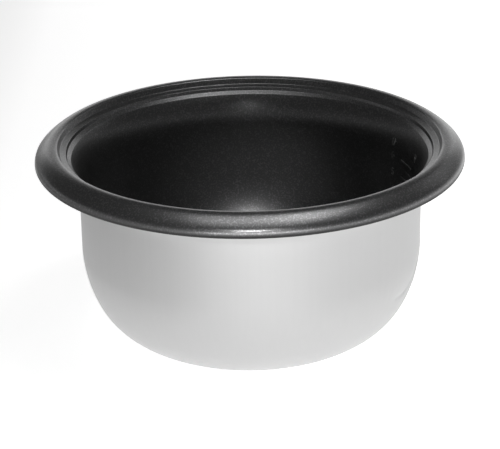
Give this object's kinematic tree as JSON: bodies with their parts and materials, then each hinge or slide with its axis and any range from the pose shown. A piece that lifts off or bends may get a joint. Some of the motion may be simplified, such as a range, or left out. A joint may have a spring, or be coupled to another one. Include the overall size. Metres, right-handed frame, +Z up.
{
  "type": "rice cooker inner pan",
  "caption": "Removable round inner pan of a rice cooker: deep drawn aluminium bowl with a wide turned-down rim, lid step, dark non-stick lining and a printed water scale.",
  "frame": {"origin": "centre of the ring that the pan rests on, on the pan's axis", "axes": "+Z up along the pan's axis of revolution; the water scale is on the inner wall between 8 and 28 degrees from +X towards +Y; -Y is the front"},
  "size_m": [0.24, 0.24, 0.114],
  "materials": {
    "bare_aluminium": "fine satin, blasted, with faint turning marks under the base",
    "nonstick": "semi-gloss dark charcoal non-stick coat with fine metallic speckle",
    "scale_ink": "flat grey printed ink"
  },
  "bodies": {
    "root": {"pan_shell": "bare_aluminium", "nonstick_lining": "nonstick", "level_lines": "scale_ink", "level_numerals": "scale_ink", "scale_symbols": "scale_ink"}
  },
  "joints": []
}
